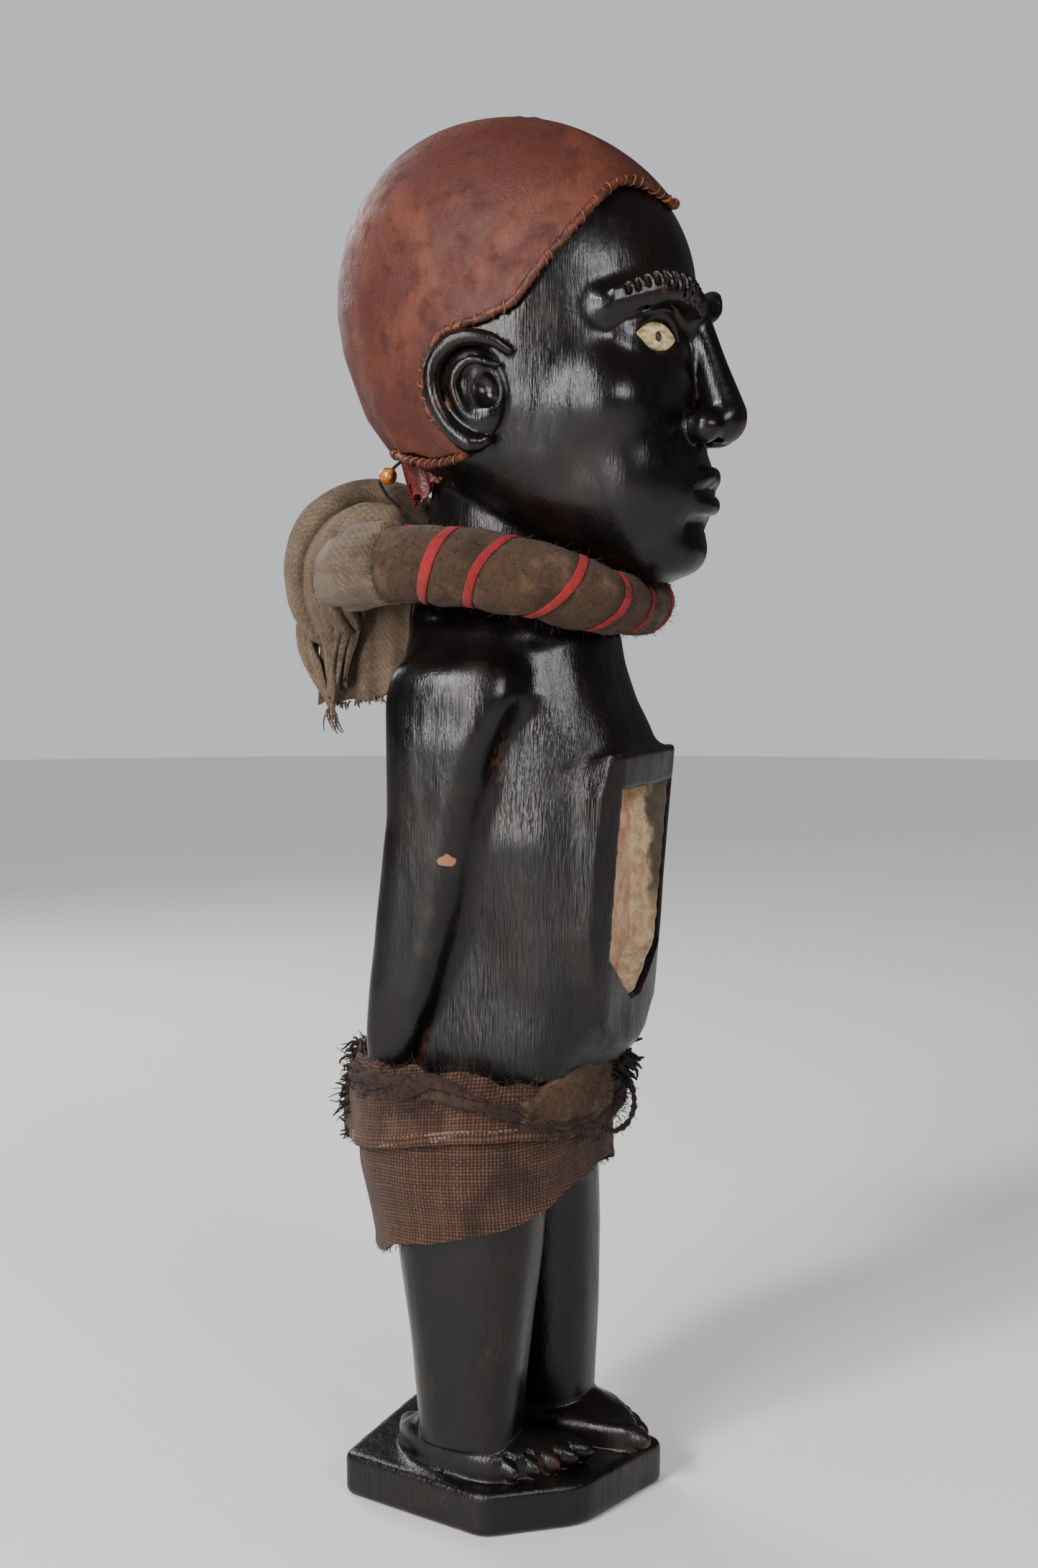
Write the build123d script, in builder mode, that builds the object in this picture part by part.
"""Carved standing ancestor figure: one block of blackened wood on a six-sided plinth, with a hollow
relic box in its belly, dressed in a laced hide cap, a bound cloth collar knotted at the nape and a
folded woven loincloth.

Frame: millimetres, +Z up, origin on the plinth's underside below the figure's axis. The figure faces
-Y, and its own left side is +X.
"""

import math
import os

from build123d import *

# ---------------------------------------------------------------- driving dimensions

PLINTH_H = 15.0
PLINTH_BEVEL = 1.5
FOOT_TOP = 31.0  # height of the instep at the ankle
TOE_H = 8.5  # thickness of the foot at the toes
TOE_NOTCH = (1.6, 12.0, 5.0)  # width, length and depth of a cut between two toes

HEAD_BASE, HEAD_TOP = 306.0, 448.0
EYE_X, EYE_Z, EYE_Y = 19.5, 376.0, -58.5
EYE_HALF_W, EYE_HALF_H = 10.0, 5.4
EYE_YAW = 24.0  # how far each eye faces outwards
SOCKET_DEPTH, RESIN_T, INLAY_T, PUPIL_R = 5.0, 1.0, 2.2, 2.0

BOX_FRONT_Y = -50.0
BOX_HALF_W, BOX_TOP, BOX_SHOULDER, BOX_FOOT = 34.0, 247.0, 178.0, 159.0
BOX_FOOT_HALF_W = 14.0
BOX_RUN = 26.0  # how far the box runs back into the belly
CAVITY_HALF_W, CAVITY_TOP, CAVITY_SHOULDER, CAVITY_FOOT = 25.2, 239.3, 185.6, 170.2
CAVITY_FOOT_HALF_W = 6.0
CAVITY_DEPTH = 15.1
LINING_T = 0.8

CLEAR = 0.3  # between a soft piece and what it lies on
CAP_T, HEM_T, HEM_W, LACING_T = 1.7, 3.1, 3.0, 0.6
WELT_HALF_W, WELT_T = 1.6, 1.4
LACING_INSET, LACING_W = 0.9, 1.2  # the lacing's distance from the hem's edge, and its width

COLLAR_R, COLLAR_CORE_R = 10.5, 8.5
BINDINGS, BINDING_W, BINDING_T = 12, 4.0, 0.5

CLOTH_T = 2.0
SKIRT_TOP, FOLD_TOP = 146.0, 149.5
BELT_HALF_W, BELT_T, PATCH_T, THREAD_T = 3.6, 4.0, 2.6, 0.6

os.makedirs("parts", exist_ok=True)


def finish(piece, label):
    """Labels a finished piece and writes it as its own node."""
    piece.label = label
    export_step(piece, f"parts/{label}.step")


def section_loft(sections, grow=0.0, lift_from=None):
    """A smooth body through level ellipses, each (z, x, y, half width, half depth). Growing it also
    raises what lies above lift_from, most of all its top."""
    top = sections[-1][0]
    with BuildPart() as body:
        for z, x, y, half_x, half_y in sections:
            raised = z
            if lift_from and z > lift_from:
                raised += grow * (z - lift_from) / (top - lift_from)
            with BuildSketch(Plane((x, y, raised))):
                Ellipse(half_x + grow, half_y + grow)
        loft()
    return body.part


def rounded_loft(sections, grow=0.0):
    """A squarish body through level rounded rectangles, each (z, y, half width, half depth, corner)."""
    with BuildPart() as body:
        for z, y, half_x, half_y, corner in sections:
            with BuildSketch(Plane((0, y, z))):
                RectangleRounded(2 * (half_x + grow), 2 * (half_y + grow), corner + grow)
        loft()
    return body.part


def side_slab(points, half_width, inset=0.0):
    """A slab across the figure whose side outline is the given (y, z) points, drawn in by inset."""
    with BuildPart() as slab:
        with BuildSketch(Plane.YZ):
            with BuildLine():
                Polyline(*points, close=True)
            make_face()
            if inset:
                offset(amount=-inset, kind=Kind.INTERSECTION, mode=Mode.REPLACE)
        extrude(amount=half_width, both=True)
    return slab.part


def band(points, half_width):
    """The outline of a band that follows the given (y, z) line."""
    upper = [(y, z + half_width) for y, z in points]
    lower = [(y, z - half_width) for y, z in points]
    return upper + lower[::-1]


def egg(x, y, z, half_x, half_y, half_z):
    """An ellipsoid with its centre at (x, y, z)."""
    with BuildPart() as body:
        Sphere(1)
        scale(by=(half_x, half_y, half_z))
    return body.part.moved(Location((x, y, z)))


# ---------------------------------------------------------------- the carving, region by region

PLINTH_OUTLINE = [(-27, 46), (-40, -8), (-20, -36), (22, -49), (41, -16), (33, 45)]

with BuildPart() as plinth:
    with BuildSketch():
        with BuildLine():
            Polyline(*PLINTH_OUTLINE, close=True)
        make_face()
        fillet(vertices(), radius=4)
    extrude(amount=PLINTH_H)
    chamfer(faces().sort_by(Axis.Z)[-1].edges(), length=PLINTH_BEVEL)


def carved_foot(outline, instep_y, toe_y, notches):
    """A foot on the plinth: a flat sole outline, a sloping instep and cuts between the toes."""
    sole = PLINTH_H - 0.5
    with BuildPart() as foot:
        with BuildSketch(Plane.XY.offset(sole)):
            with BuildLine():
                Polyline(*outline, close=True)
            make_face()
            fillet(vertices(), radius=4)
        extrude(amount=FOOT_TOP - sole)
        slope = [(instep_y, FOOT_TOP), (toe_y, PLINTH_H + TOE_H), (-90, PLINTH_H + TOE_H), (-90, 60)]
        add(side_slab([*slope, (instep_y, 60)], 60), mode=Mode.SUBTRACT)
        width, length, depth = TOE_NOTCH
        for x, y, turn in notches:
            with Locations(Location((x, y, PLINTH_H + TOE_H), (0, 0, turn))):
                Box(width, length, depth, mode=Mode.SUBTRACT)
    return foot.part


RIGHT_SOLE = [(-9, 32), (-25, 30), (-36, -5), (-31, -16), (-10, -37), (-3, -34), (-4, 10)]
LEFT_SOLE = [(9, 26), (24, 25), (38, -10), (34, -24), (14, -50), (5, -46), (4, 4)]
right_foot = carved_foot(
    RIGHT_SOLE, -6, -26, [(-28 + 6.0 * i, -16.5 - 5.2 * i, -16) for i in range(4)]
)
left_foot = carved_foot(
    LEFT_SOLE, -12, -36, [(31 - 5.2 * i, -25 - 6.2 * i, 16) for i in range(4)]
)

RIGHT_LEG = [
    (24, -20.5, 2.5, 13.5, 16.5),
    (58, -20.5, 2.0, 15.5, 20.5),
    (90, -20.5, 1.5, 17.5, 25.0),
    (128, -19.5, 0.0, 19.0, 28.0),
]
LEFT_LEG = [
    (24, 20.5, -7.5, 13.5, 16.5),
    (58, 20.5, -6.0, 15.5, 20.5),
    (90, 20.5, -3.5, 17.5, 25.0),
    (128, 19.5, 0.0, 19.0, 28.0),
]
BELLY = [
    (112, 0, 37.0, 29.0, 24),
    (132, -1, 40.0, 32.0, 24),
    (158, -4, 38.5, 34.0, 20),
    (190, -6, 36.5, 34.0, 18),
    (225, -7, 37.0, 33.0, 18),
    (250, -6, 37.0, 32.0, 20),
    (268, -4, 34.0, 31.5, 24),
]
YOKE = [
    (236, 0, 4, 41, 22),
    (258, 0, 3, 46, 24),
    (271, 0, 2, 43, 26),
    (283, 0, 0, 36, 29),
    (294, 0, -2, 32, 31),
]
NECK = [
    (280, 0, -3.0, 31.0, 34.0),
    (300, 0, -2.5, 28.0, 30.5),
    (320, 0, -2.0, 26.5, 28.0),
    (350, 0, -6.0, 26.0, 28.0),
]
ARM = [
    (126, 34.0, 24.0, 5.0, 7.0),
    (148, 37.5, 23.5, 6.0, 8.0),
    (174, 42.0, 19.5, 9.0, 12.5),
    (204, 42.5, 13.0, 10.0, 15.0),
    (230, 41.5, 9.0, 10.5, 16.5),
    (254, 40.5, 4.5, 11.0, 20.0),
    (268, 39.0, 1.0, 9.5, 20.0),
    (273, 37.5, 1.0, 6.0, 15.0),
]
CHEST_APRON = [(-26, 296), (-32, 288), (-38.5, 276), (-42, 265), (-46, 256), (-50, 247), (-25, 244)]
BELLY_APRON = [(-25, 170), (-47, 162), (-38, 151), (-30, 145), (-20, 150)]

with BuildPart() as relic_box:
    with BuildSketch(Plane.XZ.offset(-BOX_FRONT_Y)):
        with BuildLine():
            Polyline(
                (-BOX_HALF_W, BOX_TOP),
                (BOX_HALF_W, BOX_TOP),
                (BOX_HALF_W, BOX_SHOULDER),
                (BOX_FOOT_HALF_W, BOX_FOOT),
                (-BOX_FOOT_HALF_W, BOX_FOOT),
                (-BOX_HALF_W, BOX_SHOULDER),
                close=True,
            )
        make_face()
        fillet(vertices(), radius=3)
    extrude(amount=-BOX_RUN)
    chamfer(faces().sort_by(Axis.Y)[0].edges(), length=2.0)


def cavity_block(shrink, depth):
    """The hollow of the relic box as a solid, shrunk all round and that deep from the box's face."""
    with BuildPart() as block:
        with BuildSketch(Plane.XZ.offset(-BOX_FRONT_Y)):
            with BuildLine():
                Polyline(
                    (-CAVITY_HALF_W, CAVITY_TOP),
                    (CAVITY_HALF_W, CAVITY_TOP),
                    (CAVITY_HALF_W, CAVITY_SHOULDER),
                    (CAVITY_FOOT_HALF_W, CAVITY_FOOT),
                    (-CAVITY_FOOT_HALF_W, CAVITY_FOOT),
                    (-CAVITY_HALF_W, CAVITY_SHOULDER),
                    close=True,
                )
            make_face()
            if shrink:
                offset(amount=-shrink, kind=Kind.INTERSECTION, mode=Mode.REPLACE)
        extrude(amount=-depth)
    return block.part


HEAD = [
    (HEAD_BASE, 0, -49.0, 11.0, 12.0),
    (312, 0, -43.0, 21.0, 22.5),
    (323, 0, -33.0, 30.0, 34.0),
    (338, 0, -18.5, 37.5, 47.0),
    (356, 0, -13.5, 42.0, 53.5),
    (376, 0, -8.5, 44.5, 57.5),
    (394, 0, -6.0, 45.0, 58.0),
    (412, 0, -5.5, 43.0, 53.5),
    (428, 0, -5.5, 36.0, 43.5),
    (440, 0, -4.5, 26.0, 32.0),
    (446.5, 0, -4.0, 13.0, 16.5),
    (HEAD_TOP, 0, -3.5, 2.0, 3.0),
]
NOSE = [(345, 0, -64.5, 10.5, 9.0), (354, 0, -65.5, 9.0, 8.5), (390, 0, -60.0, 5.0, 4.5)]

head = section_loft(HEAD)
nose = section_loft(NOSE)
lips = [egg(0, -61, 332.5, 14, 8, 3.2), egg(0, -60.5, 327.0, 12, 8, 3.2)]


def eye_plane(side, inwards):
    """The plane of an eye, facing outwards from the face, moved that far into the head."""
    plane = Plane((side * EYE_X, EYE_Y, EYE_Z), x_dir=(1, 0, 0), z_dir=(0, -1, 0))
    return plane.rotated((0, side * EYE_YAW, 0)).offset(-inwards)


def eye_disc(side, inwards, thickness, shrink):
    """An almond-sized disc lying in the eye socket."""
    with BuildPart() as disc:
        with BuildSketch(eye_plane(side, inwards)):
            Ellipse(EYE_HALF_W - shrink, EYE_HALF_H - shrink)
        extrude(amount=thickness)
    return disc.part


def carved_ear(side):
    """A C-shaped ear standing off the side of the head."""
    with BuildPart() as ear:
        with BuildSketch(Plane.YZ.offset(side * 38)):
            with Locations((-8, 362)):
                Ellipse(11.5, 18.5, rotation=-8)
        extrude(amount=side * 11.5)
        with BuildSketch(Plane.YZ.offset(side * 50)):
            with Locations((-11, 363)):
                Ellipse(6.5, 12.5, rotation=-8)
        extrude(amount=-side * 4.5, mode=Mode.SUBTRACT)
    return ear.part


ears = [carved_ear(-1), carved_ear(1)]
arms = [
    section_loft([(z, side * x, y, half_x, half_y) for z, x, y, half_x, half_y in ARM])
    for side in (-1, 1)
]

with BuildPart() as carved_figure:
    add(plinth.part)
    add([right_foot, left_foot])
    add([section_loft(RIGHT_LEG), section_loft(LEFT_LEG)])
    add([rounded_loft(BELLY), section_loft(YOKE), section_loft(NECK)])
    add([egg(side * 18, 21.5, 124, 19, 20.5, 22) for side in (-1, 1)])
    add(arms)
    add([side_slab(CHEST_APRON, 20), side_slab(BELLY_APRON, 24)])
    add(relic_box.part)
    add(cavity_block(0, CAVITY_DEPTH), mode=Mode.SUBTRACT)
    add([head, nose, *lips, *ears])
    add([eye_disc(side, SOCKET_DEPTH, 20, 0) for side in (-1, 1)], mode=Mode.SUBTRACT)
finish(carved_figure.part, "carved_figure")
figure = carved_figure.part

# ---------------------------------------------------------------- inlays and lining

with BuildPart() as cavity_lining:
    add(cavity_block(0, CAVITY_DEPTH))
    add(cavity_block(LINING_T, CAVITY_DEPTH - LINING_T), mode=Mode.SUBTRACT)
finish(cavity_lining.part, "cavity_lining")

for side, name in ((-1, "right"), (1, "left")):
    with BuildPart() as eye_resin:
        add(eye_disc(side, SOCKET_DEPTH, RESIN_T, 0))
    finish(eye_resin.part, f"eye_resin_{name}")
    with BuildPart() as eye_inlay:
        add(eye_disc(side, SOCKET_DEPTH - RESIN_T, INLAY_T, 0.2))
        with BuildSketch(eye_plane(side, SOCKET_DEPTH - RESIN_T)):
            Circle(PUPIL_R)
        extrude(amount=INLAY_T, mode=Mode.SUBTRACT)
    finish(eye_inlay.part, f"eye_inlay_{name}")
    with BuildPart() as pupil_pin:
        with BuildSketch(eye_plane(side, SOCKET_DEPTH - RESIN_T)):
            Circle(PUPIL_R - 0.05)
        extrude(amount=INLAY_T + 0.2)
    finish(pupil_pin.part, f"pupil_pin_{name}")

# ---------------------------------------------------------------- hide cap

CAP_SIDE = [
    (-57, 420),
    (-50, 422.5),
    (-45, 420),
    (-38, 407),
    (-30, 396),
    (-21, 384.5),
    (-11.5, 380.5),
    (0, 377.5),
    (4.5, 374),
    (8, 366),
    (8.5, 358),
    (5, 351),
    (-1, 346),
    (-4, 341.5),
    (10, 340.5),
    (25, 344.5),
    (38, 346),
    (75, 348),
    (75, 470),
    (-75, 470),
    (-75, 418),
]
HEAD_LIFT_FROM = 400


def head_shell(inner, outer):
    """The space between two heights above the head's surface."""
    with BuildPart() as shell:
        add(section_loft(HEAD, outer, HEAD_LIFT_FROM))
        add(section_loft(HEAD, inner, HEAD_LIFT_FROM), mode=Mode.SUBTRACT)
    return shell.part


def ear_room(clearance):
    """The room that both ears need in what lies on the head."""
    with BuildPart() as room:
        with BuildSketch(Plane.YZ):
            with Locations((-8, 362)):
                Ellipse(11.5 + clearance, 18.5 + clearance, rotation=-8)
        extrude(amount=60, both=True)
    return room.part


with BuildPart() as cap_hide:
    add(head_shell(CLEAR, CLEAR + CAP_T))
    add(side_slab(CAP_SIDE, 60, HEM_W), mode=Mode.INTERSECT)
finish(cap_hide.part, "cap_hide")

with BuildPart() as cap_hem_roll:
    add(head_shell(CLEAR, CLEAR + HEM_T))
    add(side_slab(CAP_SIDE, 60), mode=Mode.INTERSECT)
    add(side_slab(CAP_SIDE, 60, HEM_W - 0.1), mode=Mode.SUBTRACT)
    add(ear_room(0.4), mode=Mode.SUBTRACT)
finish(cap_hem_roll.part, "cap_hem_roll")

LACING_BASE = CLEAR + HEM_T + 0.1
with BuildPart() as cap_lacing:
    add(section_loft(HEAD, LACING_BASE + LACING_T, HEAD_LIFT_FROM))
    add(side_slab(CAP_SIDE, 60, LACING_INSET), mode=Mode.INTERSECT)
    add(side_slab(CAP_SIDE, 60, LACING_INSET + LACING_W), mode=Mode.SUBTRACT)
    add(section_loft(HEAD, LACING_BASE, HEAD_LIFT_FROM), mode=Mode.SUBTRACT)
    add(ear_room(0.4), mode=Mode.SUBTRACT)
finish(cap_lacing.part, "cap_lacing")

with BuildPart() as cap_back_welt:
    add(head_shell(CLEAR + CAP_T + 0.1, CLEAR + CAP_T + WELT_T))
    with Locations((0, 60, 394)):
        Box(2 * WELT_HALF_W, 120, 84, mode=Mode.INTERSECT)
finish(cap_back_welt.part, "cap_back_welt")

# the gathered end of the hide below the hem, and the bead tied to it
with BuildPart() as nape_pleats:
    add(section_loft(NECK, 2.4))
    add(section_loft(NECK, 0.4), mode=Mode.SUBTRACT)
    with Locations((0, 30, 334)):
        Box(60, 50, 12, mode=Mode.INTERSECT)
    add(section_loft(HEAD, 0.4), mode=Mode.SUBTRACT)
finish(nape_pleats.part, "nape_pleats")

with BuildPart() as nape_bead:
    with Locations((-8, 37.5, 337.5)):
        Sphere(2.7)
        Cylinder(0.6, 8, mode=Mode.SUBTRACT)
finish(nape_bead.part, "nape_bead")

# ---------------------------------------------------------------- collar and nape scarf

COLLAR_ROUTE = [
    (-26, 46, 308),
    (-39.5, 12, 308.5),
    (-39.5, -24, 303.5),
    (-17, -46.5, 294),
    (17, -46.5, 294),
    (39.5, -24, 303.5),
    (39.5, 12, 308.5),
    (26, 46, 308),
]


def corner_radii(points):
    """The largest arc at each corner that the two runs beside it leave room for."""
    radii = []
    for before, corner, after in zip(points, points[1:], points[2:]):
        back, ahead = Vector(corner) - Vector(before), Vector(after) - Vector(corner)
        turn = math.radians(back.get_angle(ahead))
        radii.append(0.45 * min(back.length, ahead.length) / math.tan(turn / 2))
    return radii


with BuildLine() as collar_path:
    FilletPolyline(*COLLAR_ROUTE, radius=corner_radii(COLLAR_ROUTE))
collar_wire = collar_path.wire()


def collar_tube(radius):
    """A round roll along the collar's whole path."""
    with BuildPart() as tube:
        with BuildSketch(collar_wire.location_at(0)):
            Circle(radius)
        sweep(path=collar_wire)
    return tube.part


with BuildPart() as collar_core:
    add(collar_tube(COLLAR_CORE_R - 0.1))
finish(collar_core.part, "collar_core")

with BuildPart() as collar_cover:
    add(collar_tube(COLLAR_R))
    add(collar_tube(COLLAR_CORE_R), mode=Mode.SUBTRACT)
finish(collar_cover.part, "collar_cover")

with BuildPart() as collar_binding:
    for turn in range(BINDINGS):
        with BuildSketch(collar_wire.location_at((turn + 0.7) / (BINDINGS + 0.4))):
            Circle(COLLAR_R + 0.15 + BINDING_T)
            Circle(COLLAR_R + 0.15, mode=Mode.SUBTRACT)
        extrude(amount=BINDING_W / 2, both=True)
finish(collar_binding.part, "collar_binding")

LOOP_CENTRE, LOOP_BEND_R, LOOP_R = (47, 312), 14.0, 9.0
LOOP_FOOT_Z = 290.0
with BuildPart() as nape_scarf_loop:
    with BuildLine(Plane.YZ.offset(1)) as loop_path:
        CenterArc(LOOP_CENTRE, LOOP_BEND_R, 120, -120)
        Line((LOOP_CENTRE[0] + LOOP_BEND_R, LOOP_CENTRE[1]), (LOOP_CENTRE[0] + LOOP_BEND_R, LOOP_FOOT_Z))
    with BuildSketch(loop_path.wire().location_at(0)):
        Circle(LOOP_R)
    sweep(path=loop_path.wire())
finish(nape_scarf_loop.part, "nape_scarf_loop")

TAIL_T = 3.0
WIDE_TAIL = [(36, 294), (46, 294), (55, 288.5), (63, 284), (56, 271), (50, 267), (36, 268)]
NARROW_TAIL = [(50, 289.5), (62, 289.5), (60, 276), (54, 266), (51, 268)]
with BuildPart() as nape_scarf_tails:
    for x, outline in ((-4, WIDE_TAIL), (-9, NARROW_TAIL)):
        with BuildSketch(Plane.YZ.offset(x)):
            with BuildLine():
                Polyline(*outline, close=True)
            make_face()
        extrude(amount=-TAIL_T)
finish(nape_scarf_tails.part, "nape_scarf_tails")

with BuildPart() as nape_scarf_fringe:
    for y, lean in ((52.4, -8), (53.6, 0), (54.8, 9)):
        with Locations(Location((-10.5, y, 262), (lean, 0, 0))):
            Cylinder(0.5, 7)
finish(nape_scarf_fringe.part, "nape_scarf_fringe")

with BuildPart() as hide_packet_tip:
    with BuildSketch(Plane.YZ.offset(1)):
        with BuildLine():
            Polyline((64, 288.5), (67.5, 286), (68.5, 277.5), (64, 279), close=True)
        make_face()
    extrude(amount=7)
finish(hide_packet_tip.part, "hide_packet_tip")

# ---------------------------------------------------------------- loincloth

HIPS = [
    (70, 0.5, 39.0, 31.5, 24),
    (88, 1.5, 41.5, 33.5, 24),
    (113, 2.5, 45.0, 42.5, 30),
    (133, 2.5, 47.0, 44.5, 30),
    (148, 0.5, 47.0, 40.5, 28),
    (158, -1.0, 47.0, 38.0, 28),
]
HEM_LINE = [
    (60, 78),
    (33, 85),
    (23, 92),
    (9, 95),
    (-18, 100.6),
    (-29, 105.6),
    (-37.5, 112.5),
    (-43.5, 127.6),
    (-60, 133),
]
FOLD_LINE = [(60, 121.5), (30, 123.5), (8, 128), (-5, 130), (-19, 131), (-31, 128), (-38, 127), (-60, 129)]
BELT_LINE = [(62, 143), (4, 146), (-13, 142.5), (-24, 134.5), (-31, 131.5), (-38, 130.5), (-62, 131.5)]
PATCH_SIDE = [(-27, 142), (-33, 147.5), (-40, 149), (-60, 149), (-60, 136), (-38, 135)]
SKIRT_OUT = CLEAR + CLOTH_T
FOLD_OUT = SKIRT_OUT + CLEAR + CLOTH_T


def hip_shell(inner, outer):
    """The space between two heights above the wrapped hips."""
    with BuildPart() as shell:
        add(rounded_loft(HIPS, outer))
        add(rounded_loft(HIPS, inner), mode=Mode.SUBTRACT)
    return shell.part


def above(line, top):
    """The side outline from a (y, z) line up to a level."""
    return [*line, (line[-1][0], top), (line[0][0], top)]


with BuildPart() as loincloth_skirt:
    add(hip_shell(CLEAR, SKIRT_OUT))
    add(side_slab(above(HEM_LINE, SKIRT_TOP), 60), mode=Mode.INTERSECT)
finish(loincloth_skirt.part, "loincloth_skirt")

with BuildPart() as loincloth_fold:
    add(hip_shell(SKIRT_OUT + CLEAR, FOLD_OUT))
    add(side_slab(above(FOLD_LINE, FOLD_TOP), 60), mode=Mode.INTERSECT)
finish(loincloth_fold.part, "loincloth_fold")

with BuildPart() as selvedge_threads:
    add(hip_shell(FOLD_OUT + 0.1, FOLD_OUT + 0.1 + THREAD_T))
    selvedge_line = [(y, z + 1.2) for y, z in FOLD_LINE[:5]]
    add(side_slab(band(selvedge_line, 0.7), 60), mode=Mode.INTERSECT)
finish(selvedge_threads.part, "selvedge_threads")

with BuildPart() as twisted_belt:
    add(hip_shell(FOLD_OUT + CLEAR, FOLD_OUT + CLEAR + BELT_T))
    add(side_slab(band(BELT_LINE, BELT_HALF_W), 60), mode=Mode.INTERSECT)
finish(twisted_belt.part, "twisted_belt")

with BuildPart() as felt_patch:
    add(hip_shell(FOLD_OUT + CLEAR, FOLD_OUT + CLEAR + PATCH_T))
    add(side_slab(PATCH_SIDE, 60), mode=Mode.INTERSECT)
    with Locations((-30, -40, 140)):
        Box(64, 60, 40, mode=Mode.INTERSECT)
finish(felt_patch.part, "felt_patch")

with BuildPart() as yarn_tassel:
    with Locations((9, -53, 149)):
        Sphere(2.6)
    with Locations((9, -53, 141)):
        with GridLocations(2.7, 1, 5, 1):
            Cylinder(1.1, 9)
finish(yarn_tassel.part, "yarn_tassel")

with BuildPart() as yarn_loop:
    with Locations(Location((-3, -53, 128), (90, 0, 0))):
        Torus(5.5, 0.9)
finish(yarn_loop.part, "yarn_loop")

with BuildPart() as frayed_edge:
    for row in range(9):
        with Locations(Location((-25 + 1.5 * (row % 3), 56.5, 126 + 2.6 * row), (90 + 12 * (row % 3 - 1), 0, 0))):
            Cylinder(0.8, 6)
finish(frayed_edge.part, "frayed_edge")
